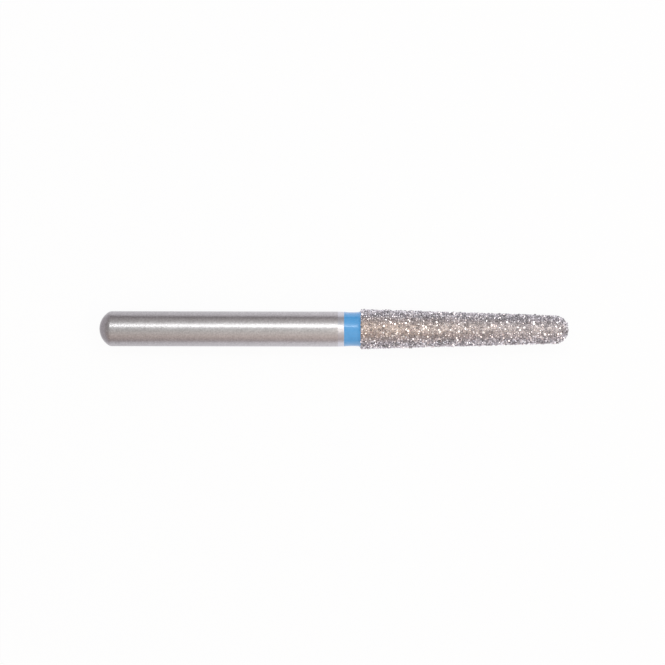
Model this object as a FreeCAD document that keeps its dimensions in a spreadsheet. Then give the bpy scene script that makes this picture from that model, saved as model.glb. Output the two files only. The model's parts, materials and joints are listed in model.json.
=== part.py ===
import FreeCAD, Part
import enum
import math
import os
import random
import Sketcher

# A diamond bur for a friction-grip dental handpiece: a turned steel blank, a ring of
# blue lacquer in the waist before the head, and a coating of diamond grit on the head.
# The axis is X, and the head points to +X. The origin is on the axis at the back end
# of the straight grip, where the rear dome begins. Lengths are in millimetres.

SIZES = {
    "shank_diameter": (1.60, "standard friction-grip shank"),
    "grip_length": (10.68, "straight shank, from the rear dome to the waist"),
    "rear_dome_height": (0.49, "how far the rounded back end stands out"),
    "rear_edge_radius": (0.30, "blend between the dome and the straight shank"),
    "land_length": (0.29, "eased land at the front end of the shank"),
    "land_drop": (0.004, "how much smaller in radius the land ends"),
    "waist_length": (0.75, "lacquered waist between the shank and the head"),
    "waist_depth": (0.02, "how far the waist dips at its middle"),
    "lacquer_thickness": (0.03, "blue ring, measured across the axis"),
    "flare_length": (0.20, "stretch where the lacquer climbs towards the head"),
    "flare_height": (0.04, "how far it climbs up the back of the head"),
    "head_length": (9.53, "coated head, from its back face to its tip"),
    "head_diameter": (1.85, "back of the head, over the grit"),
    "tip_radius": (0.665, "rounded tip, over the grit"),
    "coating_thickness": (0.17, "grit and the nickel that holds it"),
    "head_edge_radius": (0.06, "rounding of the coating's back corner"),
    "grain_pitch": (0.12, "from one grain of the grit to the next"),
    "grain_relief": (0.06, "how deep the pits between the grains go"),
}

# Places along the axis and radii from it, each from the sizes above
SHANK_RADIUS = "Sizes.shank_diameter / 2"
DOME_RADIUS = f"(({SHANK_RADIUS})^2 + Sizes.rear_dome_height^2) / (2 * Sizes.rear_dome_height)"
DOME_CENTRE = f"{DOME_RADIUS} - Sizes.rear_dome_height"
BLEND_RADIUS = f"{SHANK_RADIUS} - Sizes.rear_edge_radius"
BLEND_REACH = f"({DOME_RADIUS} - Sizes.rear_edge_radius)"
BLEND_CENTRE = f"{DOME_CENTRE} - sqrt({BLEND_REACH}^2 - ({BLEND_RADIUS})^2)"
LAND_START = "Sizes.grip_length - Sizes.land_length"
LAND_END_RADIUS = f"{SHANK_RADIUS} - Sizes.land_drop"
SEAT_RADIUS = f"{LAND_END_RADIUS} - Sizes.lacquer_thickness"
WAIST_START = "Sizes.grip_length"
WAIST_ARC = "((Sizes.waist_length / 2)^2 + Sizes.waist_depth^2) / (2 * Sizes.waist_depth)"
WAIST_MIDDLE = "Sizes.grip_length + Sizes.waist_length / 2"
HEAD_START = "Sizes.grip_length + Sizes.waist_length"
LACQUER_MIDDLE = f"{LAND_END_RADIUS} + {WAIST_ARC} - Sizes.waist_depth"
FLARE_START = f"{HEAD_START} - Sizes.flare_length"
FLARE_REACH = "(Sizes.waist_length / 2 - Sizes.flare_length)"
FLARE_FOOT = f"{LACQUER_MIDDLE} - sqrt(({WAIST_ARC})^2 - {FLARE_REACH}^2)"
FLARE_ARC = "(Sizes.flare_length^2 + Sizes.flare_height^2) / (2 * Sizes.flare_height)"
HEAD_END = f"{HEAD_START} + Sizes.head_length"
HEAD_RADIUS = "Sizes.head_diameter / 2"
TIP_CENTRE = f"{HEAD_END} - Sizes.tip_radius"
CORE_RADIUS = f"{HEAD_RADIUS} - Sizes.coating_thickness"
CORE_END = f"{HEAD_END} - Sizes.coating_thickness"
CORE_TIP_RADIUS = "Sizes.tip_radius - Sizes.coating_thickness"

NEAR = 1e-6
# How far a grain may lie off its place in its row, and its row's own place, as shares of
# the way to the next, and the seed of those chances
GRAIN_DRIFT = 0.25
GRIT_SEED = 7


class EdgePoint(enum.IntEnum):
    """The sketcher's numbers for the points of an edge."""

    START = 1
    END = 2
    CENTRE = 3


class SketchAxis(enum.IntEnum):
    """The sketcher's number for its X axis, which starts at the origin."""

    X = -1


ORIGIN = (SketchAxis.X, EdgePoint.START)
EDGE_ENDS = (EdgePoint.START, EdgePoint.END)


def make_sheet(doc):
    sheet = doc.addObject("Spreadsheet::Sheet", "Sizes")
    for row, (name, (number, note)) in enumerate(SIZES.items(), start=1):
        sheet.set(f"A{row}", name)
        sheet.set(f"B{row}", str(number))
        sheet.setAlias(f"B{row}", name)
        sheet.set(f"C{row}", note)
    doc.recompute()
    return sheet


class HalfSection:
    """A closed sketch above the X axis in a body's XY plane, to be turned about that axis.

    A point is a pair of expressions of the sheet. They place the first drawing, and
    each one that a dimension names then drives it.
    """

    def __init__(self, body, name):
        self.sketch = body.newObject("Sketcher::SketchObject", name)
        plane = next(o for o in body.Origin.OriginFeatures if o.Role == "XY_Plane")
        self.sketch.AttachmentSupport = (plane, [""])
        self.sketch.MapMode = "FlatFace"
        self.edges = []

    def number(self, expression):
        return float(self.sketch.evalExpression(expression))

    def place(self, point):
        return FreeCAD.Vector(self.number(point[0]), self.number(point[1]), 0)

    def add(self, curve):
        self.edges.append(self.sketch.addGeometry(curve, False))
        return self.edges[-1]

    def line(self, start, end):
        return self.add(Part.LineSegment(self.place(start), self.place(end)))

    def arc(self, centre, start, end):
        """The shorter arc about that centre."""
        middle = self.place(centre)
        first = self.place(start)
        circle = Part.Circle(middle, FreeCAD.Vector(0, 0, 1), middle.distanceToPoint(first))
        a, b = circle.parameter(first), circle.parameter(self.place(end))
        if (b - a) % math.tau > math.pi:
            a, b = b, a
        return self.add(Part.ArcOfCircle(circle, a, b))

    def nearest_ends(self, edge, other):
        """The end of each of two edges where they come nearest each other."""

        def gap(ends):
            here = self.sketch.getPoint(edge, ends[0])
            return here.distanceToPoint(self.sketch.getPoint(other, ends[1]))

        return min([(a, b) for a in EDGE_ENDS for b in EDGE_ENDS], key=gap)

    def constrain(self, kind, *geometry):
        return self.sketch.addConstraint(Sketcher.Constraint(kind, *geometry))

    def close(self, smooth=()):
        """Joins each edge to the next, tangent where the pair of edges is in smooth."""
        for edge, after in zip(self.edges, self.edges[1:] + self.edges[:1]):
            a, b = self.nearest_ends(edge, after)
            kind = "Tangent" if (edge, after) in smooth else "Coincident"
            self.constrain(kind, edge, a, after, b)

    def end_at(self, edge, point):
        place = self.place(point)
        return min(EDGE_ENDS, key=lambda e: self.sketch.getPoint(edge, e).distanceToPoint(place))

    def dimension(self, kind, geometry, expression, name):
        index = self.constrain(kind, *geometry, self.number(expression))
        self.sketch.renameConstraint(index, name)
        self.sketch.setExpression(f"Constraints.{name}", expression)

    def along(self, edge, point, name):
        """Dimensions the x of that end of the edge."""
        end = (edge, self.end_at(edge, point))
        if self.number(point[0]) < 0:
            self.dimension("DistanceX", (*end, *ORIGIN), f"-({point[0]})", name)
        else:
            self.dimension("DistanceX", (*ORIGIN, *end), point[0], name)

    def across(self, edge, point, name):
        """Dimensions the y of that end of the edge."""
        end = (edge, self.end_at(edge, point))
        self.dimension("DistanceY", (*ORIGIN, *end), point[1], name)

    def on_axis(self, edge, end):
        self.constrain("PointOnObject", edge, end, SketchAxis.X)

    def end_on_axis(self, edge, point):
        self.on_axis(edge, self.end_at(edge, point))


def revolve(body, section, name):
    turned = body.newObject("PartDesign::Revolution", name)
    turned.Profile = section.sketch
    turned.ReferenceAxis = (section.sketch, ["H_Axis"])
    turned.Angle = 360
    body.Document.recompute()
    return turned


def round_edge(body, section, place, size, name):
    """Rounds the circular edge that the point of the section sweeps."""
    where = section.place(place)
    feature = body.Tip
    found = [
        f"Edge{i}"
        for i, edge in enumerate(feature.Shape.Edges, start=1)
        if not edge.Degenerated
        and isinstance(edge.Curve, Part.Circle)
        and abs(edge.Curve.Center.x - where.x) < NEAR
        and abs(edge.Curve.Radius - where.y) < NEAR
    ]
    rounding = body.newObject("PartDesign::Fillet", name)
    rounding.Base = (feature, found)
    rounding.setExpression("Radius", f"Sizes.{size}")
    body.Document.recompute()
    return rounding


def make_body(doc, name):
    body = doc.addObject("PartDesign::Body", name)
    body.Label = name
    return body


def shank_section(body):
    """Rear dome, straight grip, eased land and the waist where the lacquer lies."""
    outwards = f"{DOME_RADIUS} / {BLEND_REACH}"
    back = ("-Sizes.rear_dome_height", "0")
    dome_edge = (
        f"{DOME_CENTRE} + ({BLEND_CENTRE} - ({DOME_CENTRE})) * {outwards}",
        f"({BLEND_RADIUS}) * {outwards}",
    )
    grip_back = (BLEND_CENTRE, SHANK_RADIUS)
    land_back = (LAND_START, SHANK_RADIUS)
    land_front = (WAIST_START, LAND_END_RADIUS)
    waist_back = (WAIST_START, SEAT_RADIUS)
    waist_front = (HEAD_START, SEAT_RADIUS)
    waist_centre = (WAIST_MIDDLE, f"{SEAT_RADIUS} + {WAIST_ARC} - Sizes.waist_depth")
    front = (HEAD_START, "0")

    section = HalfSection(body, "shank_section")
    dome = section.arc((DOME_CENTRE, "0"), back, dome_edge)
    blend = section.arc((BLEND_CENTRE, BLEND_RADIUS), dome_edge, grip_back)
    grip = section.line(grip_back, land_back)
    land = section.line(land_back, land_front)
    shoulder = section.line(land_front, waist_back)
    waist = section.arc(waist_centre, waist_back, waist_front)
    front_face = section.line(waist_front, front)
    section.line(front, back)
    section.close(smooth=[(dome, blend), (blend, grip)])

    section.on_axis(dome, EdgePoint.CENTRE)
    section.end_on_axis(dome, back)
    section.end_on_axis(front_face, front)
    section.constrain("Horizontal", grip)
    section.constrain("Vertical", shoulder)
    section.constrain("Vertical", front_face)
    section.along(dome, back, "dome_height")
    section.dimension("Radius", (dome,), DOME_RADIUS, "dome_radius")
    section.dimension("Radius", (blend,), "Sizes.rear_edge_radius", "rear_edge_radius")
    section.across(grip, land_back, "shank_radius")
    section.along(grip, land_back, "land_start")
    section.along(land, land_front, "grip_end")
    section.across(land, land_front, "land_end_radius")
    section.across(waist, waist_back, "waist_back_radius")
    section.across(waist, waist_front, "waist_front_radius")
    section.along(front_face, front, "head_start")
    section.dimension("Radius", (waist,), WAIST_ARC, "waist_arc")
    return section


def core_section(body):
    """The tapered core that carries the coating."""
    foot = (HEAD_START, "0")
    shoulder = (HEAD_START, CORE_RADIUS)
    tip_start = (TIP_CENTRE, CORE_TIP_RADIUS)
    tip = (CORE_END, "0")

    section = HalfSection(body, "core_section")
    back_face = section.line(foot, shoulder)
    taper = section.line(shoulder, tip_start)
    nose = section.arc((TIP_CENTRE, "0"), tip_start, tip)
    section.line(tip, foot)
    section.close(smooth=[(taper, nose)])

    section.constrain("Vertical", back_face)
    section.end_on_axis(back_face, foot)
    section.on_axis(nose, EdgePoint.CENTRE)
    section.end_on_axis(nose, tip)
    section.along(back_face, foot, "head_start")
    section.across(back_face, shoulder, "core_radius")
    section.dimension("Radius", (nose,), CORE_TIP_RADIUS, "core_tip_radius")
    section.along(nose, tip, "core_end")
    return section


def lacquer_section(body):
    """The ring of lacquer, which follows the waist and climbs a little up the head's back."""
    back = (WAIST_START, SEAT_RADIUS)
    back_top = (WAIST_START, LAND_END_RADIUS)
    flare_foot = (FLARE_START, FLARE_FOOT)
    front_top = (HEAD_START, f"{FLARE_FOOT} + Sizes.flare_height")
    front = (HEAD_START, SEAT_RADIUS)
    inner_centre = (WAIST_MIDDLE, f"{SEAT_RADIUS} + {WAIST_ARC} - Sizes.waist_depth")
    outer_centre = (WAIST_MIDDLE, LACQUER_MIDDLE)
    flare_centre = (FLARE_START, f"{FLARE_FOOT} + {FLARE_ARC}")

    section = HalfSection(body, "lacquer_section")
    back_face = section.line(back, back_top)
    outside = section.arc(outer_centre, back_top, flare_foot)
    flare = section.arc(flare_centre, flare_foot, front_top)
    front_face = section.line(front_top, front)
    inside = section.arc(inner_centre, front, back)
    section.close()

    section.constrain("Vertical", back_face)
    section.constrain("Vertical", front_face)
    section.along(back_face, back, "waist_start")
    section.across(back_face, back, "seat_radius_back")
    section.across(back_face, back_top, "lacquer_radius_back")
    section.along(front_face, front, "head_start")
    section.across(front_face, front, "seat_radius_front")
    section.across(front_face, front_top, "lacquer_radius_front")
    section.dimension("Radius", (inside,), WAIST_ARC, "inside_arc")
    section.dimension("Radius", (outside,), WAIST_ARC, "outside_arc")
    section.along(flare, flare_foot, "flare_start")
    section.across(flare, flare_foot, "flare_foot_radius")
    section.dimension("Radius", (flare,), FLARE_ARC, "flare_arc")
    return section


def coating_section(body):
    """The coating, as thick over the taper as over the rounded tip."""
    back = (HEAD_START, CORE_RADIUS)
    back_top = (HEAD_START, HEAD_RADIUS)
    tip_centre = (TIP_CENTRE, "0")
    tip_start = (TIP_CENTRE, "Sizes.tip_radius")
    tip = (HEAD_END, "0")
    core_tip = (CORE_END, "0")
    core_tip_start = (TIP_CENTRE, CORE_TIP_RADIUS)

    section = HalfSection(body, "coating_section")
    back_face = section.line(back, back_top)
    taper = section.line(back_top, tip_start)
    nose = section.arc(tip_centre, tip_start, tip)
    section.line(tip, core_tip)
    inner_nose = section.arc(tip_centre, core_tip, core_tip_start)
    inner_taper = section.line(core_tip_start, back)
    section.close(smooth=[(taper, nose), (inner_nose, inner_taper)])

    section.constrain("Vertical", back_face)
    section.on_axis(nose, EdgePoint.CENTRE)
    section.end_on_axis(nose, tip)
    section.on_axis(inner_nose, EdgePoint.CENTRE)
    section.end_on_axis(inner_nose, core_tip)
    section.along(back_face, back, "head_start")
    section.across(back_face, back, "core_radius")
    section.across(back_face, back_top, "head_radius")
    section.dimension("Radius", (nose,), "Sizes.tip_radius", "tip_radius")
    section.along(nose, tip, "head_end")
    section.dimension("Radius", (inner_nose,), CORE_TIP_RADIUS, "core_tip_radius")
    section.along(inner_nose, core_tip, "core_end")
    return section, back_top


def make_steel_blank(doc):
    body = make_body(doc, "steel_blank")
    revolve(body, shank_section(body), "shank")
    revolve(body, core_section(body), "core")
    return body


def make_lacquer_band(doc):
    body = make_body(doc, "lacquer_band")
    revolve(body, lacquer_section(body), "ring")
    return body


def make_smooth_coat(doc):
    """The coating as if it were smooth, which the tips of the grains reach."""
    body = make_body(doc, "smooth_coat")
    section, back_top = coating_section(body)
    revolve(body, section, "coat")
    round_edge(body, section, back_top, "head_edge_radius", "back_edge")
    return body


def coat_outline(number):
    """The smooth coat's outside in the XY plane, from its back face to its tip."""
    back, radius = number(HEAD_START), number(HEAD_RADIUS)
    centre, tip = number(TIP_CENTRE), number("Sizes.tip_radius")
    edge = number("Sizes.head_edge_radius")
    length = centre - back
    lean = math.acos(tip / math.hypot(length, radius)) - math.atan2(length, radius)
    upright = math.pi / 2 - lean
    corner = (back + edge, radius - edge * (1 + math.sin(lean)) / math.cos(lean))

    def bend(middle, reach, first, last):
        angles = (first, (first + last) / 2, last)
        x, y = middle
        return Part.Arc(
            *(FreeCAD.Vector(x + reach * math.cos(a), y + reach * math.sin(a)) for a in angles)
        )

    back_corner = bend(corner, edge, math.pi, upright)
    nose = bend((centre, 0), tip, upright, 0)
    taper = Part.LineSegment(back_corner.EndPoint, nose.StartPoint)
    return Part.Wire([curve.toShape() for curve in (back_corner, taper, nose)])


def grit_rings(number):
    """Rows of points round the head, each the tip of a grain or a pit between grains.

    A point is its angle about the axis and its place. The last row is the tip alone.
    """
    chance = random.Random(GRIT_SEED)
    pitch, relief = number("Sizes.grain_pitch"), number("Sizes.grain_relief")
    outline = coat_outline(number)
    rows = round(outline.Length / (pitch * math.sqrt(3) / 2))
    course = outline.discretize(Number=rows + 1)
    rings = []
    for row in range(rows):
        place = course[row]
        onward = course[row + 1] - course[max(row - 1, 0)]
        inward = FreeCAD.Vector(onward.y, -onward.x).normalize()
        if row == 0:
            onward, inward = FreeCAD.Vector(), FreeCAD.Vector(0, -1)
        count = max(5, round(math.tau * place.y / pitch))
        ring = []
        for grain in range(count):
            stagger = row % 2 / 2 + chance.uniform(-GRAIN_DRIFT, GRAIN_DRIFT)
            angle = (grain + stagger) * math.tau / count
            drift = onward / 2 * chance.uniform(-GRAIN_DRIFT, GRAIN_DRIFT)
            point = place + drift + inward * relief * chance.random() ** 2
            spun = FreeCAD.Vector(point.x, point.y * math.cos(angle), point.y * math.sin(angle))
            ring.append((angle, spun))
        rings.append(ring)
    return rings + [[(0, course[-1])]]


def facets_between(ring, after):
    """Triangles that fill the band between two rows, taken in the order of their angles."""
    facets = []
    here = there = 0
    last = len(after) if len(after) > 1 else 0
    while here < len(ring) or there < last:
        a, b = ring[here % len(ring)][1], after[there % len(after)][1]
        turn_here = ring[(here + 1) % len(ring)][0] + math.tau * ((here + 1) // len(ring))
        turn_there = after[(there + 1) % len(after)][0] + math.tau * ((there + 1) // len(after))
        if there == last or here < len(ring) and turn_here <= turn_there:
            here += 1
            facets.append((a, ring[here % len(ring)][1], b))
        else:
            there += 1
            facets.append((a, after[there % len(after)][1], b))
    return facets


def make_diamond_coating(doc, coat):
    """The coating with its grit: a faceted outside over the smooth coat's own inside."""
    sheet = doc.getObject("Sizes")
    edges = {}

    def number(expression):
        return float(sheet.evalExpression(expression))

    def edge(a, b):
        ends = tuple(sorted((tuple(a), tuple(b))))
        if ends not in edges:
            edges[ends] = Part.makeLine(*(FreeCAD.Vector(*end) for end in ends))
        return edges[ends]

    rings = grit_rings(number)
    faces = []
    for ring, after in zip(rings, rings[1:]):
        for a, b, c in facets_between(ring, after):
            faces.append(Part.Face(Part.Wire([edge(a, b), edge(b, c), edge(c, a)])))
    core_radius, back = number(CORE_RADIUS), number(HEAD_START)
    inside = [face for face in coat.Shape.Faces if face.BoundBox.YMax < core_radius + NEAR]
    inside_lines = [line for face in inside for line in face.Edges]
    mouth = next(line for line in inside_lines if line.BoundBox.XMax < back + NEAR)
    rim = [point for _, point in rings[0]]
    rim_edges = [edge(a, b) for a, b in zip(rim, rim[1:] + rim[:1])]
    faces.append(Part.Face([Part.Wire(rim_edges), Part.Wire([mouth])]))
    skin = Part.makeCompound(faces + inside)
    skin.sewShape()
    coating = doc.addObject("Part::Feature", "diamond_coating")
    coating.Label = "diamond_coating"
    coating.Shape = Part.Solid(skin.Shells[0])
    coating.Placement = coat.Placement
    return coating


def check(doc, bodies):
    """Stops the build if a feature failed or a piece isn't one sound solid."""
    for thing in doc.Objects:
        if "Invalid" in thing.State or "Error" in thing.State:
            raise RuntimeError(f"{thing.Name} failed: {thing.State}")
    for body in bodies:
        shape = body.Shape
        if shape.isNull() or not shape.isValid() or len(shape.Solids) != 1:
            raise RuntimeError(f"{body.Label} isn't one sound solid")


def main():
    doc = FreeCAD.newDocument("dental_bur")
    make_sheet(doc)
    coat = make_smooth_coat(doc)
    doc.recompute()
    bodies = [make_steel_blank(doc), make_lacquer_band(doc), make_diamond_coating(doc, coat)]
    doc.recompute()
    check(doc, bodies)
    os.makedirs("parts", exist_ok=True)
    for body in bodies:
        body.Shape.exportStep(f"parts/{body.Label}.step")
        print(f"{body.Label}: {body.Shape.Volume:.4f} mm3")


main()
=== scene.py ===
import json
import math

import bpy
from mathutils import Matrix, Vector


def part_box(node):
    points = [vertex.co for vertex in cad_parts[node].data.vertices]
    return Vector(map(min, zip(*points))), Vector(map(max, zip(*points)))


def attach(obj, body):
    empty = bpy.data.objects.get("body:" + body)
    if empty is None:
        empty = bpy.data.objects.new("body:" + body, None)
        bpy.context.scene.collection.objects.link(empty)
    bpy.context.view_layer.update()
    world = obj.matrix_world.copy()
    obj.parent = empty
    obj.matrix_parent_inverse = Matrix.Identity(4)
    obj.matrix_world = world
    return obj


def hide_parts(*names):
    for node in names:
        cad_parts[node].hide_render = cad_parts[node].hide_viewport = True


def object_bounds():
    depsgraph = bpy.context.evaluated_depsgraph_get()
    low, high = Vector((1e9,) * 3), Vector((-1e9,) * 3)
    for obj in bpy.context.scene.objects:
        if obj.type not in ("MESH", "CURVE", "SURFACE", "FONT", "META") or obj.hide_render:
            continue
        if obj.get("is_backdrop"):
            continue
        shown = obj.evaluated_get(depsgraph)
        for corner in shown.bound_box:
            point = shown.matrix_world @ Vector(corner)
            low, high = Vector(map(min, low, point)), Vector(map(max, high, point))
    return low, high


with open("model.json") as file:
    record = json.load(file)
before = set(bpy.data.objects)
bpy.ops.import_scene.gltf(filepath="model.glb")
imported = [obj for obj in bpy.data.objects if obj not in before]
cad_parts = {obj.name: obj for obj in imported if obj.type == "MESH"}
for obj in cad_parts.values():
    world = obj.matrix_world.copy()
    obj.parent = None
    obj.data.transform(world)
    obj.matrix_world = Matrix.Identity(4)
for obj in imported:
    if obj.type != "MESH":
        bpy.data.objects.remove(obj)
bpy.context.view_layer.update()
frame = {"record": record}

# A tapered diamond bur seen square to its axis: a turned steel blank with a straight
# shank, a blue lacquer ring in the waist, and a head of plated nickel set with diamond
# grains. The axis is X and the head points to +X. Lengths are in metres.

MM = 0.001
SEED = 5
FULL_TURN = 2 * math.pi
RIGHT_ANGLE = math.pi / 2
MERGE_REACH = 1e-7

# Places along the axis, from the frame
blank_low, blank_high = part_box("steel_blank")
band_low, band_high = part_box("lacquer_band")
coat_low, coat_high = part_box("diamond_coating")
REAR_APEX = blank_low[0]
CORE_APEX = blank_high[0]
WAIST_START = band_low[0]
HEAD_START = coat_low[0]
HEAD_APEX = coat_high[0]
COAT_THICKNESS = HEAD_APEX - CORE_APEX

# Radii and small lengths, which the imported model's coarse facets round off, so they are
# named here. A groove's steps are the points that draw it.
shank_mount = frame["record"]["mounts"][0]["dims"]
SHANK_RADIUS = shank_mount["r_mm"] * MM
LAND_START = shank_mount["length_mm"] * MM
LAND_DROP = 0.004 * MM
LAND_END_RADIUS = SHANK_RADIUS - LAND_DROP
LACQUER_THICKNESS = 0.03 * MM
LAND_GROOVES = 6
GROOVE_STEPS = 6
GROOVE_DEPTH = 0.0065 * MM
WAIST_DIP = 0.02 * MM
FLARE_LENGTH = 0.2 * MM
FLARE_HEIGHT = 0.04 * MM
HEAD_RADIUS = 0.925 * MM
TIP_RADIUS = 0.665 * MM
REAR_EDGE_RADIUS = 0.3 * MM
HEAD_EDGE_RADIUS = 0.06 * MM
LEAST_EDGE_RADIUS = 0.01 * MM

# The grit: how large a grain is, how far apart they sit, how deep the nickel holds them, and
# how much one may lean, sink, rise or differ in size
GRAIN_SIZE = 0.12 * MM
GRAIN_PITCH = 0.1 * MM
GRAIN_DEPTH = 0.05 * MM
BOND_DEPTH = 0.066 * MM
GRAIN_TILT = math.radians(24)
GRAIN_SINK = 0.02 * MM
GRAIN_RISE = 0.01 * MM
GRAIN_SCALES = (0.78, 1.14)
GRAIN_KINDS = 6
TRIES_PER_GRAIN = 6

# The nickel bed: its roughness, and what of it lies outside and so is rough
BED_SPACING = 0.04 * MM
BED_ROUGHNESS = 0.012 * MM
BED_INNER_RADIUS = 0.62 * MM
BED_NOSE = 20.7 * MM

# How many sides the turned pieces have
STEEL_SIDES = 160
BED_SIDES = 150
SOWN_SIDES = 96

# The photograph's frame, in its pixels
PHOTO_SIDE = 665
SHANK_HEIGHT_PX = 35.0
OBJECT_LEFT_PX = 99.6
OBJECT_RIGHT_PX = 568.9
AXIS_PX = 329.1
AXIS_FALL_PX = 0.9

# The studio
LENS_LENGTH = 100
SENSOR_WIDTH = 36
TABLE_SIDE = 600 * MM
PAPER_GLOW = 0.94
LAMP_REACH = 90 * MM
LAMP_MIDDLE = 10.4 * MM


def select_only(piece):
    bpy.ops.object.select_all(action="DESELECT")
    piece.select_set(True)
    bpy.context.view_layer.objects.active = piece


def edit_where(piece, chosen):
    """Opens the piece for editing with the vertices selected whose place passes chosen."""
    select_only(piece)
    bpy.ops.object.mode_set(mode="EDIT")
    bpy.ops.mesh.select_mode(type="VERT")
    bpy.ops.mesh.select_all(action="DESELECT")
    bpy.ops.object.mode_set(mode="OBJECT")
    for vertex in piece.data.vertices:
        vertex.select = chosen(vertex.co)
    bpy.ops.object.mode_set(mode="EDIT")


def arc(centre, radius, first, last, steps):
    """Points (x, r) along an arc, with its angles measured from +X in radians."""
    angles = [first + (last - first) * step / steps for step in range(steps + 1)]
    return [(centre[0] + radius * math.cos(a), centre[1] + radius * math.sin(a)) for a in angles]


def straight(start, end, steps):
    """Points (x, r) from start to end, without start itself."""
    shares = [step / steps for step in range(1, steps + 1)]
    along, up = end[0] - start[0], end[1] - start[1]
    return [(start[0] + along * share, start[1] + up * share) for share in shares]


def turned(name, half_section, segments):
    """A solid turned about the X axis: one point is pulled along the half section, then the
    line is turned on a lathe. The lathe is a modifier, since its faces keep their order."""
    bpy.ops.object.select_all(action="DESELECT")
    bpy.ops.mesh.primitive_plane_add(size=MM)
    piece = bpy.context.object
    piece.name = name
    bpy.ops.object.mode_set(mode="EDIT")
    bpy.ops.mesh.select_all(action="SELECT")
    bpy.ops.mesh.merge(type="CENTER")
    start = half_section[0]
    bpy.ops.transform.translate(value=(start[0], 0, start[1]))
    for here, there in zip(half_section, half_section[1:]):
        step = (there[0] - here[0], 0, there[1] - here[1])
        bpy.ops.mesh.extrude_vertices_move(TRANSFORM_OT_translate={"value": step})
    bpy.ops.object.mode_set(mode="OBJECT")
    lathe = piece.modifiers.new("lathe", "SCREW")
    lathe.axis = "X"
    lathe.angle = FULL_TURN
    lathe.steps = lathe.render_steps = segments
    lathe.use_merge_vertices = True
    lathe.merge_threshold = MERGE_REACH
    bpy.ops.object.modifier_apply(modifier=lathe.name)
    bpy.ops.object.mode_set(mode="EDIT")
    bpy.ops.mesh.select_all(action="SELECT")
    bpy.ops.mesh.remove_doubles(threshold=MERGE_REACH)
    bpy.ops.mesh.normals_make_consistent(inside=False)
    bpy.ops.object.mode_set(mode="OBJECT")
    return piece


def smooth(piece, degrees):
    select_only(piece)
    bpy.ops.object.shade_smooth_by_angle(angle=math.radians(degrees))


def finished(piece, material, slot, *nodes):
    """Gives a piece its material and its body, and hides the nodes that it stands for. The slot is
    not used.
    """
    piece.data.materials.clear()
    piece.data.materials.append(material)
    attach(piece, "root")
    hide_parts(*nodes)


# Half sections


def taper_angle(radius, tip, length):
    """The half angle of a taper that meets a round tip without an edge."""
    return math.acos(tip / math.hypot(length, radius)) - math.atan2(length, radius)


def head_outline(depth, spacing):
    """The head's outline at a depth under its surface, from the back corner to the apex."""
    tip_centre = HEAD_APEX - TIP_RADIUS
    lean = taper_angle(HEAD_RADIUS, TIP_RADIUS, tip_centre - HEAD_START)
    upright = RIGHT_ANGLE - lean
    edge = HEAD_EDGE_RADIUS
    rounded = max(edge - depth, LEAST_EDGE_RADIUS)
    corner_r = HEAD_RADIUS - edge * (1 + math.sin(lean)) / math.cos(lean)
    corner_r -= max(depth - edge + rounded, 0)
    points = arc((HEAD_START + edge, corner_r), rounded, math.pi, upright, steps=4)
    tip_steps = round(upright * TIP_RADIUS / spacing)
    tip = arc((tip_centre, 0), TIP_RADIUS - depth, upright, 0, tip_steps)
    along = math.dist(points[-1], tip[0])
    return points + straight(points[-1], tip[0], round(along / spacing)) + tip[1:]


def core_outline():
    """The steel core under the coating, from the back of the head to its apex."""
    radius, tip = HEAD_RADIUS - COAT_THICKNESS, TIP_RADIUS - COAT_THICKNESS
    centre = CORE_APEX - tip
    lean = taper_angle(radius, tip, centre - HEAD_START)
    return [(HEAD_START, radius)] + arc((centre, 0), tip, RIGHT_ANGLE - lean, 0, steps=12)


def waist_arc(radius, steps, end=None):
    """The dipping waist at a radius of its ends, from the land to the head or to an end."""
    half = (HEAD_START - WAIST_START) / 2
    bow = (half**2 + WAIST_DIP**2) / (2 * WAIST_DIP)
    centre = (WAIST_START + half, radius - WAIST_DIP + bow)
    reach = half if end is None else end - centre[0]
    first = -RIGHT_ANGLE - math.asin(half / bow)
    return arc(centre, bow, first, -RIGHT_ANGLE + math.asin(reach / bow), steps)


def grooved_land(start, end):
    """The land between two points, turned with fine round grooves, without start itself."""
    share = 1 / (LAND_GROOVES * GROOVE_STEPS)
    points = straight(start, end, LAND_GROOVES * GROOVE_STEPS)
    dips = [1 - math.cos(FULL_TURN * LAND_GROOVES * share * (n + 1)) for n in range(len(points))]
    return [(x, r - GROOVE_DEPTH * dip / 2) for (x, r), dip in zip(points, dips)]


def blank_section():
    """The blank, from the dome's apex along the shank and the waist to the core's nose."""
    dome_height = -REAR_APEX
    dome = (SHANK_RADIUS**2 + dome_height**2) / (2 * dome_height)
    dome_centre = dome - dome_height
    blend = REAR_EDGE_RADIUS
    blend_r = SHANK_RADIUS - blend
    blend_x = dome_centre - math.sqrt((dome - blend) ** 2 - blend_r**2)
    meet = math.atan2(blend_r, blend_x - dome_centre)
    section = arc((dome_centre, 0), dome, math.pi, meet, steps=28)
    section += arc((blend_x, blend_r), blend, meet, RIGHT_ANGLE, steps=8)[1:]
    section += straight(section[-1], (LAND_START, SHANK_RADIUS), steps=24)
    section += grooved_land(section[-1], (WAIST_START, LAND_END_RADIUS))
    section += waist_arc(LAND_END_RADIUS - LACQUER_THICKNESS, steps=12)
    return section + core_outline()


def ring_section():
    """The ring, which climbs towards the head where the lacquer wetted its back."""
    outer = waist_arc(LAND_END_RADIUS, steps=30, end=HEAD_START - FLARE_LENGTH)
    foot = outer[-1]
    bow = (FLARE_LENGTH**2 + FLARE_HEIGHT**2) / (2 * FLARE_HEIGHT)
    swing = math.asin(FLARE_LENGTH / bow)
    flare = arc((foot[0], foot[1] + bow), bow, -RIGHT_ANGLE, -RIGHT_ANGLE + swing, steps=12)
    inner = waist_arc(LAND_END_RADIUS - LACQUER_THICKNESS, steps=12)
    return outer + flare[1:] + inner[::-1] + outer[:1]


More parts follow.
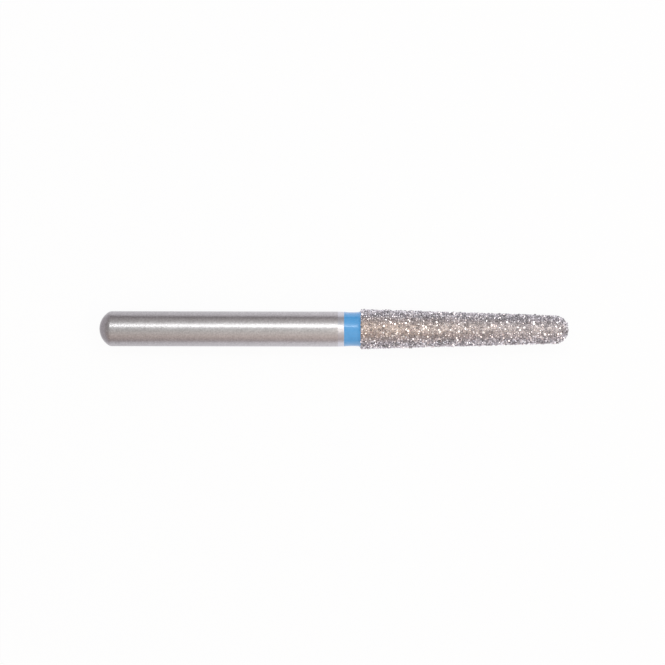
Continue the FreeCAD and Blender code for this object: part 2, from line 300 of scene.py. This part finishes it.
def bond_section():
    """The nickel bed, from its apex back to the shoulder and forward along the core."""
    shoulder = (HEAD_START, HEAD_RADIUS - COAT_THICKNESS / 2)
    outer = [shoulder] + head_outline(BOND_DEPTH, BED_SPACING)
    return outer[::-1] + core_outline()


# The pieces


def steel_shank(material):
    piece = turned("steel_shank", blank_section(), STEEL_SIDES)
    smooth(piece, 30)
    finished(piece, material, "steel", "steel_blank")


def lacquer_ring(material):
    piece = turned("lacquer_ring", ring_section(), STEEL_SIDES)
    smooth(piece, 40)
    finished(piece, material, "lacquer", "lacquer_band")


def on_the_outside(place):
    return math.hypot(place.y, place.z) > BED_INNER_RADIUS or place.x > BED_NOSE


def nickel_bond(material):
    piece = turned("nickel_bond", bond_section(), BED_SIDES)
    edit_where(piece, on_the_outside)
    bpy.ops.transform.vertex_random(offset=BED_ROUGHNESS, uniform=0.0, normal=1.0, seed=SEED)
    bpy.ops.object.mode_set(mode="OBJECT")
    smooth(piece, 60)
    finished(piece, material, "grit", "diamond_coating")


def block_grain(number):
    """A blocky crystal: a cube with its corners cut."""
    bpy.ops.mesh.primitive_cube_add(size=0.8 * GRAIN_SIZE)
    bpy.ops.object.mode_set(mode="EDIT")
    bpy.ops.mesh.select_all(action="SELECT")
    bpy.ops.mesh.bevel(offset=0.24 * GRAIN_SIZE, affect="VERTICES", segments=1)
    bpy.ops.transform.resize(value=(1.0, 0.92, 0.84 + 0.05 * number))
    bpy.ops.transform.vertex_random(offset=0.05 * GRAIN_SIZE, uniform=1.0, seed=number)
    bpy.ops.object.mode_set(mode="OBJECT")


def pointed_grain(number):
    """A pointed crystal: an eight-sided one with its points cut."""
    bpy.ops.mesh.primitive_uv_sphere_add(segments=4, ring_count=2, radius=0.62 * GRAIN_SIZE)
    bpy.ops.object.mode_set(mode="EDIT")
    bpy.ops.mesh.select_all(action="SELECT")
    bpy.ops.mesh.bevel(offset=0.22 * GRAIN_SIZE, affect="VERTICES", segments=1)
    bpy.ops.transform.vertex_random(offset=0.04 * GRAIN_SIZE, uniform=1.0, seed=number)
    bpy.ops.object.mode_set(mode="OBJECT")


def chip_grain(number):
    """A broken chip: a rough ball of twenty facets, squashed."""
    bpy.ops.mesh.primitive_ico_sphere_add(subdivisions=1, radius=0.55 * GRAIN_SIZE)
    bpy.ops.object.mode_set(mode="EDIT")
    bpy.ops.mesh.select_all(action="SELECT")
    bpy.ops.transform.resize(value=(1.1, 0.85, 0.75))
    bpy.ops.transform.vertex_random(offset=0.16 * GRAIN_SIZE, uniform=1.0, seed=number)
    bpy.ops.object.mode_set(mode="OBJECT")


def grain_kinds():
    """A few kinds of grain, each modelled once."""
    kinds = []
    for number in range(GRAIN_KINDS):
        bpy.ops.object.select_all(action="DESELECT")
        (block_grain, pointed_grain, chip_grain)[number % 3](number)
        kinds.append(bpy.context.object)
    return kinds


def add(tree, kind, **settings):
    node = tree.nodes.new(kind)
    for name, value in settings.items():
        setattr(node, name, value)
    return node


def join(tree, pairs):
    for output, target in pairs:
        tree.links.new(output, target)


def strewing(kinds):
    """A node tree that sets a grain of any kind, turned and sized at random, on each point of
    an evenly spaced scatter, and notes a random tone for each grain. A random value has
    sockets of the same name for each type, so they go by number."""
    tree = bpy.data.node_groups.new("strewing", "GeometryNodeTree")
    tree.interface.new_socket("Bed", in_out="INPUT", socket_type="NodeSocketGeometry")
    tree.interface.new_socket("Grains", in_out="OUTPUT", socket_type="NodeSocketGeometry")
    bed, grains = add(tree, "NodeGroupInput"), add(tree, "NodeGroupOutput")
    scatter = add(tree, "GeometryNodeDistributePointsOnFaces", distribute_method="POISSON")
    scatter.inputs["Distance Min"].default_value = GRAIN_PITCH
    scatter.inputs["Density Max"].default_value = TRIES_PER_GRAIN / GRAIN_PITCH**2
    scatter.inputs["Seed"].default_value = SEED
    lift = add(tree, "FunctionNodeRandomValue", data_type="FLOAT")
    lift.inputs[2].default_value = -GRAIN_SINK
    lift.inputs[3].default_value = GRAIN_RISE
    push = add(tree, "ShaderNodeVectorMath", operation="SCALE")
    place = add(tree, "GeometryNodeSetPosition")
    tip = add(tree, "FunctionNodeRandomValue", data_type="FLOAT_VECTOR")
    tip.inputs[0].default_value = (-GRAIN_TILT, -GRAIN_TILT, 0)
    tip.inputs[1].default_value = (GRAIN_TILT, GRAIN_TILT, FULL_TURN)
    tip.inputs["Seed"].default_value = SEED + 1
    turn = add(tree, "FunctionNodeRotateRotation", rotation_space="LOCAL")
    growth = add(tree, "FunctionNodeRandomValue", data_type="FLOAT")
    growth.inputs[2].default_value, growth.inputs[3].default_value = GRAIN_SCALES
    growth.inputs["Seed"].default_value = SEED + 2
    bag = add(tree, "GeometryNodeGeometryToInstance")
    for kind in reversed(kinds):
        source = add(tree, "GeometryNodeObjectInfo")
        source.inputs["Object"].default_value = kind
        tree.links.new(source.outputs["Geometry"], bag.inputs[0])
    pick = add(tree, "FunctionNodeRandomValue", data_type="INT")
    pick.inputs[4].default_value = 0
    pick.inputs[5].default_value = len(kinds) - 1
    pick.inputs["Seed"].default_value = SEED + 3
    plant = add(tree, "GeometryNodeInstanceOnPoints")
    plant.inputs["Pick Instance"].default_value = True
    tone = add(tree, "FunctionNodeRandomValue", data_type="FLOAT")
    tone.inputs["Seed"].default_value = SEED + 4
    note = add(tree, "GeometryNodeStoreNamedAttribute", data_type="FLOAT", domain="INSTANCE")
    note.inputs["Name"].default_value = "grain_tone"
    real = add(tree, "GeometryNodeRealizeInstances")
    join(tree, (
        (bed.outputs["Bed"], scatter.inputs["Mesh"]),
        (scatter.outputs["Points"], place.inputs["Geometry"]),
        (scatter.outputs["Normal"], push.inputs[0]),
        (lift.outputs[1], push.inputs["Scale"]),
        (push.outputs[0], place.inputs["Offset"]),
        (place.outputs[0], plant.inputs["Points"]),
        (bag.outputs[0], plant.inputs["Instance"]),
        (pick.outputs[2], plant.inputs["Instance Index"]),
        (scatter.outputs["Rotation"], turn.inputs["Rotation"]),
        (tip.outputs[0], turn.inputs["Rotate By"]),
        (turn.outputs[0], plant.inputs["Rotation"]),
        (growth.outputs[1], plant.inputs["Scale"]),
        (plant.outputs[0], note.inputs["Geometry"]),
        (tone.outputs[1], note.inputs["Value"]),
        (note.outputs[0], real.inputs[0]),
        (real.outputs[0], grains.inputs[0]),
    ))
    return tree


def diamond_grains(material):
    """Grains sown over the head and a little way down its back."""
    outline = head_outline(GRAIN_DEPTH, GRAIN_PITCH)
    back_foot = (outline[0][0], outline[0][1] - GRAIN_SIZE / 2)
    piece = turned("diamond_grains", [back_foot] + outline, SOWN_SIDES)
    kinds = grain_kinds()
    select_only(piece)
    sowing = piece.modifiers.new("sowing", "NODES")
    sowing.node_group = strewing(kinds)
    bpy.ops.object.modifier_apply(modifier=sowing.name)
    for kind in kinds:
        bpy.data.objects.remove(kind)
    finished(piece, material, "grit", "diamond_coating")


# The materials

# Painted warm sheen on the head: how squarely the head is seen where the painted sheen starts and
# where it is full, and where along the axis, in millimetres, the painted sheen starts to fade and
# ends
SQUARE_ON_RANGE = (0.7, 0.97)
WARM_SHEEN_FADE_MM = (12, 19)


def new_material(name):
    material = bpy.data.materials.new(name)
    material.use_nodes = True
    tree = material.node_tree
    tree.nodes.clear()
    shader = add(tree, "ShaderNodeBsdfPrincipled")
    output = add(tree, "ShaderNodeOutputMaterial")
    tree.links.new(shader.outputs[0], output.inputs["Surface"])
    return material, tree, shader


def in_millimetres(tree, scale=(1, 1, 1)):
    """The piece's own coordinates in millimetres, stretched by a scale."""
    place = add(tree, "ShaderNodeTexCoord")
    mapping = add(tree, "ShaderNodeMapping")
    mapping.inputs["Scale"].default_value = [s / MM for s in scale]
    tree.links.new(place.outputs["Object"], mapping.inputs["Vector"])
    return mapping.outputs[0]


def ramp(tree, factor, stops):
    node = add(tree, "ShaderNodeValToRGB")
    band = node.color_ramp
    while len(band.elements) < len(stops):
        band.elements.new(0.5)
    for element, (place, colour) in zip(band.elements, stops):
        element.position = place
        element.color = (*colour, 1)
    tree.links.new(factor, node.inputs["Fac"])
    return node.outputs["Color"]


def ranged(tree, value, low, high, start=0.0, end=1.0):
    """A value that runs from start to end brought to run from low to high."""
    node = add(tree, "ShaderNodeMapRange")
    node.inputs["From Min"].default_value = start
    node.inputs["From Max"].default_value = end
    node.inputs["To Min"].default_value = low
    node.inputs["To Max"].default_value = high
    tree.links.new(value, node.inputs["Value"])
    return node.outputs["Result"]


def bump(tree, height, depth):
    node = add(tree, "ShaderNodeBump")
    node.inputs["Distance"].default_value = depth
    tree.links.new(height, node.inputs["Height"])
    return node.outputs[0]


def blend(tree, kind, share, under, over):
    """Lays one colour over another. The share is a number or a mask."""
    node = add(tree, "ShaderNodeMix", data_type="RGBA", blend_type=kind)
    join(tree, ((under, node.inputs[6]), (over, node.inputs[7])))
    if isinstance(share, float):
        node.inputs["Factor"].default_value = share
    else:
        tree.links.new(share, node.inputs["Factor"])
    return node.outputs[2]


def mottle_group():
    """Broad clouds with finer ones in them, for every finish that isn't quite even."""
    tree = bpy.data.node_groups.new("mottle", "ShaderNodeTree")
    tree.interface.new_socket("Vector", in_out="INPUT", socket_type="NodeSocketVector")
    for name in ("Broad Scale", "Fine Scale", "Fine Share"):
        tree.interface.new_socket(name, in_out="INPUT", socket_type="NodeSocketFloat")
    tree.interface.new_socket("Mask", in_out="OUTPUT", socket_type="NodeSocketFloat")
    given, put_out = add(tree, "NodeGroupInput"), add(tree, "NodeGroupOutput")
    broad, fine = add(tree, "ShaderNodeTexNoise"), add(tree, "ShaderNodeTexNoise")
    mix = add(tree, "ShaderNodeMix", data_type="FLOAT")
    for node in (broad, fine):
        node.inputs["Detail"].default_value = 3.0
        node.inputs["Roughness"].default_value = 0.55
        tree.links.new(given.outputs["Vector"], node.inputs["Vector"])
    join(tree, (
        (given.outputs["Broad Scale"], broad.inputs["Scale"]),
        (given.outputs["Fine Scale"], fine.inputs["Scale"]),
        (given.outputs["Fine Share"], mix.inputs["Factor"]),
        (broad.outputs["Fac"], mix.inputs["A"]),
        (fine.outputs["Fac"], mix.inputs["B"]),
        (mix.outputs["Result"], put_out.inputs["Mask"]),
    ))
    return tree


def square_on_group():
    """How squarely a round thing along X is looked at, however each grain on it leans."""
    tree = bpy.data.node_groups.new("square_on", "ShaderNodeTree")
    tree.interface.new_socket("Vector", in_out="INPUT", socket_type="NodeSocketVector")
    tree.interface.new_socket("View", in_out="INPUT", socket_type="NodeSocketVector")
    tree.interface.new_socket("Mask", in_out="OUTPUT", socket_type="NodeSocketFloat")
    given, put_out = add(tree, "NodeGroupInput"), add(tree, "NodeGroupOutput")
    across = add(tree, "ShaderNodeVectorMath", operation="MULTIPLY")
    across.inputs[1].default_value = (0, 1, 1)
    outward = add(tree, "ShaderNodeVectorMath", operation="NORMALIZE")
    match = add(tree, "ShaderNodeVectorMath", operation="DOT_PRODUCT")
    join(tree, (
        (given.outputs["Vector"], across.inputs[0]),
        (across.outputs[0], outward.inputs[0]),
        (outward.outputs[0], match.inputs[0]),
        (given.outputs["View"], match.inputs[1]),
        (ranged(tree, match.outputs["Value"], 0.0, 1.0, *SQUARE_ON_RANGE), put_out.inputs["Mask"]),
    ))
    return tree


MOTTLE = mottle_group()
SQUARE_ON = square_on_group()


def mottle(tree, vector, broad, fine, share):
    node = add(tree, "ShaderNodeGroup", node_tree=MOTTLE)
    node.inputs["Broad Scale"].default_value = broad
    node.inputs["Fine Scale"].default_value = fine
    node.inputs["Fine Share"].default_value = share
    tree.links.new(vector, node.inputs["Vector"])
    return node.outputs["Mask"]


def warm_sheen_share(tree, vector, at_neck, at_tip):
    """How much painted warm sheen the head gets: where it is seen square on, and most at its neck.
    """
    node = add(tree, "ShaderNodeGroup", node_tree=SQUARE_ON)
    split = add(tree, "ShaderNodeSeparateXYZ")
    share = add(tree, "ShaderNodeMath", operation="MULTIPLY")
    join(tree, (
        (vector, node.inputs["Vector"]),
        (vector, split.inputs[0]),
        (add(tree, "ShaderNodeNewGeometry").outputs["Incoming"], node.inputs["View"]),
        (node.outputs["Mask"], share.inputs[0]),
        (ranged(tree, split.outputs["X"], at_neck, at_tip, *WARM_SHEEN_FADE_MM), share.inputs[1]),
    ))
    return share.outputs[0]


def steel():
    """Ground steel with painted light, its colour darker at the gripped end and brighter towards
    the head, and a finely grooved land by the lacquer whose lighter, bluish colour is a painted
    highlight.
    """
    material, tree, shader = new_material("ground_steel")
    place = in_millimetres(tree)
    split = add(tree, "ShaderNodeSeparateXYZ")
    tree.links.new(place, split.inputs[0])
    along = split.outputs["X"]
    lines = mottle(tree, in_millimetres(tree, (12, 0.8, 0.8)), 1.0, 5.0, 0.4)
    patches = mottle(tree, place, 1.6, 13.0, 0.9)
    # Painted light: the steel's colour is scaled up from the gripped end towards the head, so that
    # end looks darker and the head end brighter.
    tone = ranged(tree, along, 0.885, 1.06, 0, 10.5)
    bare = ramp(tree, patches, ((0.34, (0.465, 0.455, 0.455)), (0.66, (0.63, 0.62, 0.62))))
    streaked = blend(tree, "MULTIPLY", 1.0, bare, ramp(tree, lines, (
        (0.3, (0.93, 0.925, 0.925)),
        (0.7, (1.0, 1.0, 1.0)),
    )))
    streaks_with_painted_light = add(tree, "ShaderNodeVectorMath", operation="SCALE")
    join(tree, ((streaked, streaks_with_painted_light.inputs[0]), (tone, streaks_with_painted_light.inputs["Scale"])))
    # The land's lighter, bluish colour is a painted highlight laid over the same steel.
    land_painted_highlight = ramp(tree, patches, (
        (0.35, (0.62, 0.625, 0.655)),
        (0.65, (0.72, 0.725, 0.755)),
    ))
    land = ranged(tree, along, 0, 1, LAND_START / MM - 0.005, LAND_START / MM + 0.02)
    roughness = add(tree, "ShaderNodeMix", data_type="FLOAT")
    roughness.inputs["B"].default_value = 0.3
    join(tree, (
        (land, roughness.inputs["Factor"]),
        (ranged(tree, patches, 0.25, 0.38), roughness.inputs["A"]),
        (roughness.outputs[0], shader.inputs["Roughness"]),
        (blend(tree, "MIX", land, streaks_with_painted_light.outputs[0], land_painted_highlight), shader.inputs["Base Color"]),
        (bump(tree, lines, 0.0012 * MM), shader.inputs["Normal"]),
    ))
    shader.inputs["Metallic"].default_value = 1.0
    return material


def lacquer():
    """Blue lacquer with a gloss, brushed on a little unevenly."""
    material, tree, shader = new_material("blue_lacquer")
    place = in_millimetres(tree)
    cloud = mottle(tree, place, 2.5, 14.0, 0.35)
    colour = ramp(tree, cloud, ((0.35, (0.058, 0.365, 0.78)), (0.65, (0.095, 0.415, 0.83))))
    waves = mottle(tree, in_millimetres(tree, (1.0, 1.4, 1.4)), 4.0, 11.0, 0.35)
    shader.inputs["Coat Weight"].default_value = 1.0
    shader.inputs["Coat Roughness"].default_value = 0.05
    join(tree, (
        (colour, shader.inputs["Base Color"]),
        (ranged(tree, cloud, 0.25, 0.4), shader.inputs["Roughness"]),
        (bump(tree, waves, 0.012 * MM), shader.inputs["Normal"]),
    ))
    return material


def nickel():
    """Plated nickel with fine nodules, with a painted warm sheen where the head is seen square on.
    """
    material, tree, shader = new_material("plated_nickel")
    place = in_millimetres(tree)
    nodules = mottle(tree, place, 12.0, 34.0, 0.6)
    grey = ramp(tree, nodules, ((0.3, (0.315, 0.305, 0.32)), (0.7, (0.59, 0.575, 0.605))))
    # The warm colour is a painted sheen, shown where the head is seen square on and most at its
    # neck.
    warm_sheen = ramp(tree, nodules, ((0.3, (0.33, 0.255, 0.20)), (0.7, (0.64, 0.52, 0.43))))
    share = warm_sheen_share(tree, place, 0.78, 0.27)
    shader.inputs["Metallic"].default_value = 1.0
    join(tree, (
        (blend(tree, "MIX", share, grey, warm_sheen), shader.inputs["Base Color"]),
        (ranged(tree, nodules, 0.25, 0.5), shader.inputs["Roughness"]),
        (bump(tree, nodules, 0.02 * MM), shader.inputs["Normal"]),
    ))
    return material


def diamond():
    """Grains from smoky to clear, most of them with a skin of the nickel."""
    material, tree, shader = new_material("diamond_grit")
    tone = add(tree, "ShaderNodeAttribute", attribute_name="grain_tone").outputs["Fac"]
    grey = ramp(tree, tone, (
        (0.0, (0.225, 0.22, 0.235)),
        (0.25, (0.57, 0.555, 0.585)),
        (0.6, (0.835, 0.81, 0.84)),
        (1.0, (0.99, 0.965, 0.98)),
    ))
    # The warm colours are a painted sheen, shown where the head is seen square on and most at its
    # neck; the grey ones are the grains' own random tones.
    warm_sheen = ramp(tree, tone, (
        (0.0, (0.26, 0.18, 0.13)),
        (0.25, (0.68, 0.51, 0.40)),
        (0.6, (1.0, 0.79, 0.63)),
        (0.8, (1.0, 0.84, 0.67)),
        (1.0, (1.0, 0.94, 0.84)),
    ))
    place = in_millimetres(tree)
    share = warm_sheen_share(tree, place, 0.52, 0.17)
    chips = mottle(tree, place, 20.0, 60.0, 0.5)
    shader.inputs["IOR"].default_value = 2.2
    join(tree, (
        (blend(tree, "MIX", share, grey, warm_sheen), shader.inputs["Base Color"]),
        (ramp(tree, tone, ((0.10, (0.2, 0.2, 0.2)), (0.3, (1, 1, 1)))), shader.inputs["Metallic"]),
        (ranged(tree, chips, 0.08, 0.3), shader.inputs["Roughness"]),
        (bump(tree, chips, 0.004 * MM), shader.inputs["Normal"]),
    ))
    return material


# The studio


def camera():
    """Looks straight down on the bur, which lies level, as the photograph does."""
    pixel = 2 * SHANK_RADIUS / SHANK_HEIGHT_PX
    lens = bpy.data.cameras.new("camera")
    lens.lens = LENS_LENGTH
    lens.sensor_width = SENSOR_WIDTH
    eye = bpy.data.objects.new("camera", lens)
    bpy.context.scene.collection.objects.link(eye)
    middle = (REAR_APEX + HEAD_APEX) / 2
    across = (OBJECT_LEFT_PX + OBJECT_RIGHT_PX) / 2 - PHOTO_SIDE / 2
    below = AXIS_PX - PHOTO_SIDE / 2
    distance = PHOTO_SIDE * pixel * lens.lens / lens.sensor_width
    eye.location = (middle - across * pixel, below * pixel, distance)
    eye.rotation_euler = (0, 0, math.atan(AXIS_FALL_PX / (OBJECT_RIGHT_PX - OBJECT_LEFT_PX)))
    lens.clip_start = distance / 10
    lens.clip_end = distance * 20
    bpy.context.scene.camera = eye


def table_top():
    """A plain white surface just under the lowest grain. Seen directly it glows, and as the steel
    mirrors it, it has painted shade beyond the back end and far to the sides."""
    bpy.ops.object.select_all(action="DESELECT")
    bpy.ops.mesh.primitive_plane_add(size=TABLE_SIDE, location=(0, 0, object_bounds()[0][2]))
    top = bpy.context.object
    top.name = "table_top"
    material, tree, shader = new_material("white_paper")
    fibres = mottle(tree, in_millimetres(tree), 0.4, 2.0, 0.4)
    colour = ramp(tree, fibres, ((0.3, (0.93, 0.93, 0.93)), (0.7, (0.95, 0.95, 0.95))))
    shader.inputs["Roughness"].default_value = 0.9
    shader.inputs["Specular IOR Level"].default_value = 0.1
    glow = add(tree, "ShaderNodeEmission")
    mixer = add(tree, "ShaderNodeMixShader")
    rays = add(tree, "ShaderNodeLightPath")
    seen = add(tree, "ShaderNodeMath", operation="MAXIMUM")
    shown = add(tree, "ShaderNodeMath", operation="MAXIMUM")
    share = add(tree, "ShaderNodeMath", operation="MULTIPLY")
    share.inputs[1].default_value = PAPER_GLOW
    tint = add(tree, "ShaderNodeMix", data_type="RGBA")
    tint.inputs[6].default_value = (1, 1, 1, 1)
    split = add(tree, "ShaderNodeSeparateXYZ")
    tree.links.new(in_millimetres(tree), split.inputs[0])
    # Painted shade in what the steel mirrors: the glow it reflects is darker past the back end and
    # far to the sides.
    beyond_the_end, to_the_side = (-1.8, -0.7), (3, 16)
    painted_shade_past_end = ramp(tree, ranged(tree, split.outputs["X"], 0, 1, *beyond_the_end), (
        (0.0, (0.62, 0.58, 0.62)),
        (1.0, (0.97, 0.95, 1.0)),
    ))
    aside = add(tree, "ShaderNodeMath", operation="ABSOLUTE")
    painted_shade_aside = ramp(tree, ranged(tree, aside.outputs[0], 0, 1, *to_the_side), (
        (0.0, (1.0, 1.0, 1.0)),
        (1.0, (0.76, 0.74, 0.75)),
    ))
    output = tree.nodes["Material Output"]
    join(tree, (
        (colour, shader.inputs["Base Color"]),
        (split.outputs["Y"], aside.inputs[0]),
        (blend(tree, "MULTIPLY", 1.0, painted_shade_past_end, painted_shade_aside), tint.inputs[7]),
        (rays.outputs["Is Glossy Ray"], tint.inputs["Factor"]),
        (tint.outputs[2], glow.inputs["Color"]),
        (rays.outputs["Is Camera Ray"], seen.inputs[0]),
        (rays.outputs["Is Glossy Ray"], seen.inputs[1]),
        (seen.outputs[0], shown.inputs[0]),
        (rays.outputs["Is Transmission Ray"], shown.inputs[1]),
        (shown.outputs[0], share.inputs[0]),
        (share.outputs[0], mixer.inputs["Fac"]),
        (shader.outputs[0], mixer.inputs[1]),
        (glow.outputs[0], mixer.inputs[2]),
        (mixer.outputs[0], output.inputs["Surface"]),
    ))
    top.data.materials.append(material)
    top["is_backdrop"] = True


def strip_lamp(name, lean, width, radiance, along=LAMP_MIDDLE, length=71 * MM, tint=(1, 1, 1)):
    """A lamp as long as it is set to be, over the bur's axis or leant back from it."""
    tilt = math.radians(lean)
    light = bpy.data.lights.new(name, "AREA")
    light.shape = "RECTANGLE"
    light.size = length
    light.size_y = width
    light.energy = radiance * math.pi * length * width
    light.color = tint
    lamp = bpy.data.objects.new(name, light)
    bpy.context.scene.collection.objects.link(lamp)
    lamp.location = (along, LAMP_REACH * math.sin(tilt), LAMP_REACH * math.cos(tilt))
    lamp.rotation_euler = (-tilt, 0, 0)


def room():
    """Pale walls all round: warm in front, dark low behind the bur and beyond its ends."""
    world = bpy.data.worlds.new("room")
    bpy.context.scene.world = world
    world.use_nodes = True
    tree = world.node_tree
    place = add(tree, "ShaderNodeTexCoord")
    split = add(tree, "ShaderNodeSeparateXYZ")
    across = ramp(tree, ranged(tree, split.outputs["Y"], 0, 1, -1, 1), (
        (0.0, (0.56, 0.49, 0.49)),
        (0.08, (0.83, 0.705, 0.66)),
        (0.22, (0.92, 0.835, 0.80)),
        (0.36, (0.855, 0.82, 0.79)),
        (0.48, (0.77, 0.77, 0.77)),
        (0.62, (0.82, 0.82, 0.82)),
        (0.80, (0.83, 0.825, 0.83)),
        (0.90, (0.655, 0.62, 0.62)),
        (0.975, (0.52, 0.48, 0.49)),
        (1.0, (0.10, 0.08, 0.09)),
    ))
    along = ramp(tree, ranged(tree, split.outputs["X"], 0, 1, -1, 1), (
        (0.0, (0.62, 0.57, 0.59)),
        (0.28, (0.66, 0.64, 0.65)),
        (0.42, (0.98, 0.98, 0.98)),
        (0.5, (1.0, 1.0, 1.0)),
        (0.58, (0.99, 0.99, 0.99)),
        (0.7, (0.66, 0.66, 0.68)),
        (1.0, (0.60, 0.60, 0.63)),
    ))
    join(tree, (
        (place.outputs["Generated"], split.inputs[0]),
        (blend(tree, "MULTIPLY", 1.0, across, along), tree.nodes["Background"].inputs["Color"]),
    ))


steel_shank(steel())
lacquer_ring(lacquer())
nickel_bond(nickel())
diamond_grains(diamond())
camera()
table_top()
strip_lamp("bright_tube", 19.8, 7 * MM, 5.6, tint=(0.97, 0.985, 1.0))
strip_lamp("soft_panel", 24.0, 34 * MM, 0.85)
strip_lamp("tip_panel", -3.0, 66 * MM, 3.5, 67 * MM, 36 * MM, tint=(1.0, 0.90, 0.81))
room()

bpy.context.scene.view_settings.view_transform = "Standard"
